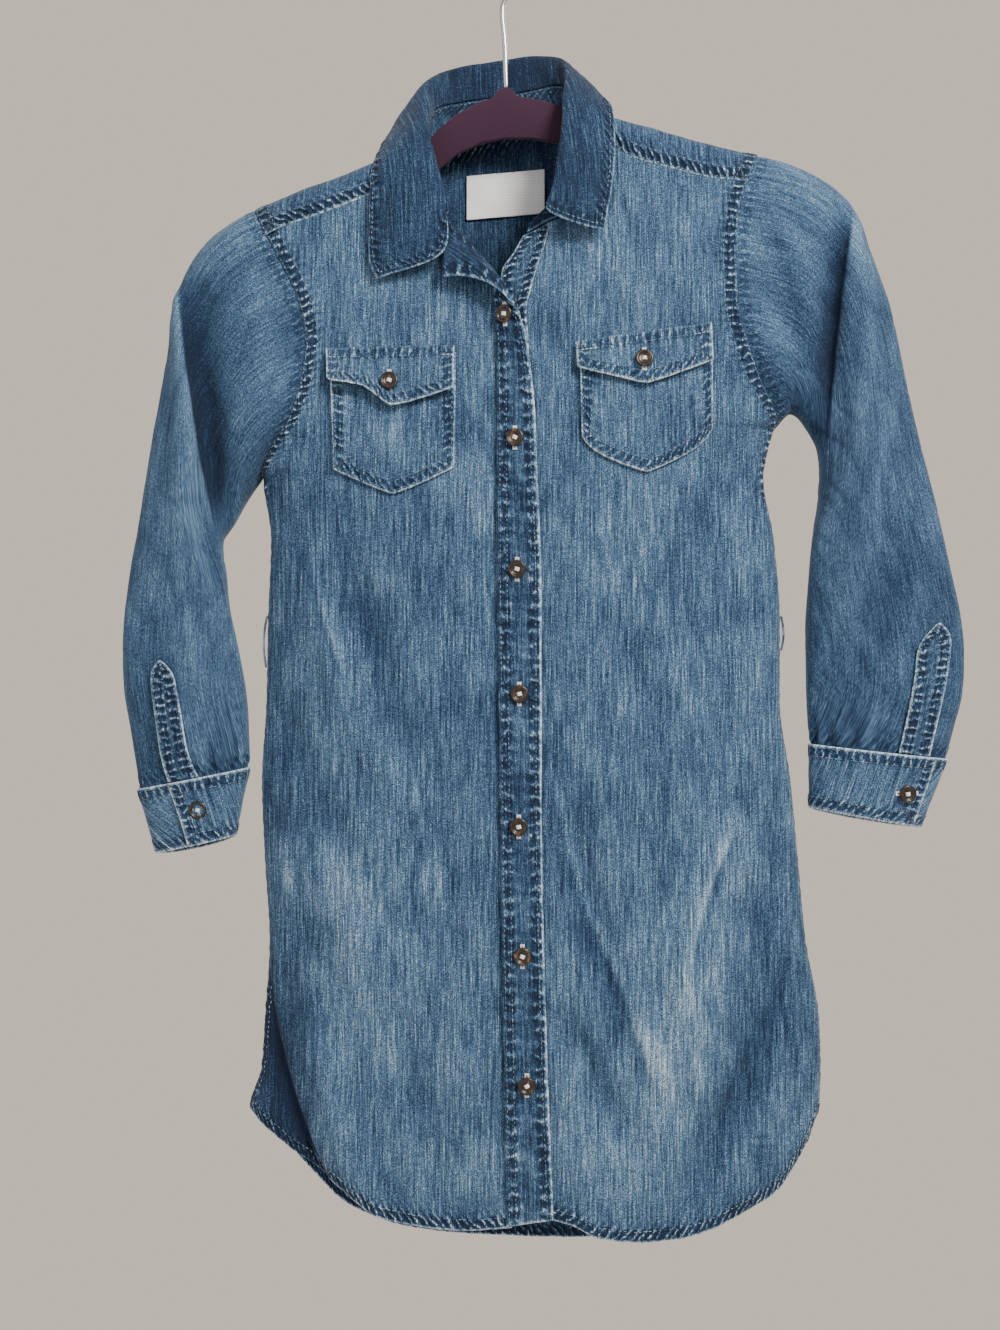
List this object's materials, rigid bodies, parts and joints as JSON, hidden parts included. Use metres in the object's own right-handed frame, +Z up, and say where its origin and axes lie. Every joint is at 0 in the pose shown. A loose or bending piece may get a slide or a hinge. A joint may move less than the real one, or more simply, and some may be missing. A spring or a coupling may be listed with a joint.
{
  "type": "shirt dress on hanger",
  "caption": "Child's long-sleeved washed denim shirt dress with a spread collar, flap pockets and a shirt-tail hem, hanging buttoned on a slim flocked hanger.",
  "frame": {"origin": "inner top of the hanger's hook, where a rail carries it", "axes": "+Z up, -Y out of the front of the dress, +X towards the wearer's left sleeve"},
  "size_m": [0.553, 0.0987, 0.8763],
  "materials": {
    "washed_denim": "washed twill, faded",
    "blue_thread": "twisted thread",
    "woven_label": "woven satin",
    "horn_buttons": "gloss, horn mottle",
    "flocked_hanger": "flocked velvet",
    "chrome_wire": "polished"
  },
  "bodies": {
    "root": {"front_right": "washed_denim", "front_left": "washed_denim", "back": "washed_denim", "yoke": "washed_denim", "placket_under": "washed_denim", "placket_top": "washed_denim", "sleeve_right": "washed_denim", "sleeve_left": "washed_denim", "sleeve_placket_right": "washed_denim", "sleeve_placket_left": "washed_denim", "cuff_right": "washed_denim", "cuff_left": "washed_denim", "pocket_right": "washed_denim", "pocket_left": "washed_denim", "pocket_flap_right": "washed_denim", "pocket_flap_left": "washed_denim", "collar_stand": "washed_denim", "collar_fall": "washed_denim", "neck_label": "woven_label", "button_front_1": "horn_buttons", "button_front_2": "horn_buttons", "button_front_3": "horn_buttons", "button_front_4": "horn_buttons", "button_front_5": "horn_buttons", "button_front_6": "horn_buttons", "button_front_7": "horn_buttons", "button_pocket_right": "horn_buttons", "button_pocket_left": "horn_buttons", "button_cuff_right": "horn_buttons", "button_cuff_left": "horn_buttons", "belt_loop_right": "blue_thread", "belt_loop_left": "blue_thread", "hanger_body": "flocked_hanger", "hanger_hook": "chrome_wire"}
  },
  "joints": []
}
